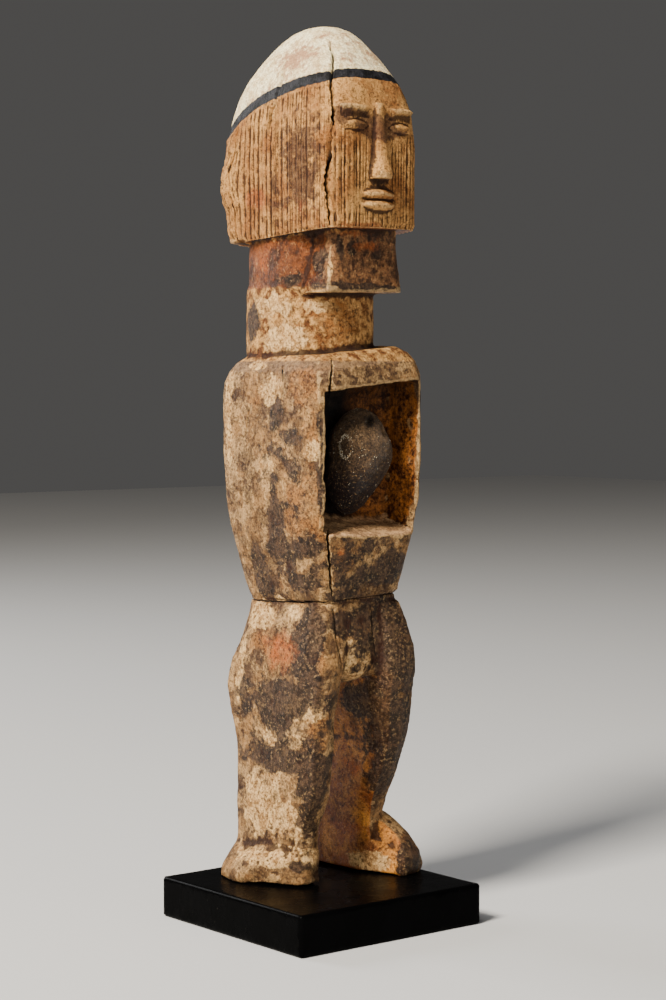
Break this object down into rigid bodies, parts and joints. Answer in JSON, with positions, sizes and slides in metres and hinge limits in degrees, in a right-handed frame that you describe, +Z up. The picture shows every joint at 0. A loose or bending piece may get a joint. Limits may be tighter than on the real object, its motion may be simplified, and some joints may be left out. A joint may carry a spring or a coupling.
{
  "type": "teke figure",
  "caption": "carved wooden standing figure with a tall striated head, a slab beard and an open hollow chest that holds a resin lump, mounted on a flat black block",
  "frame": {"origin": "the middle of the underside of the square block", "axes": "the figure looks towards -Y and a little towards +X, its left is +X, its back is +Y, and +Z is up"},
  "size_m": [0.1122, 0.1122, 0.4401],
  "materials": {
    "weathered_wood": "old carved wood, dry and cracked, chalky cream crown, golden-tan face, grey and ochre body",
    "resin_charge": "dark brown-black resin crust, dull with small glossy spots",
    "black_paint": "semi-gloss black paint with pale specks along its edges"
  },
  "bodies": {
    "root": {"figure": "weathered_wood", "charge": "resin_charge", "base": "black_paint"}
  },
  "joints": []
}
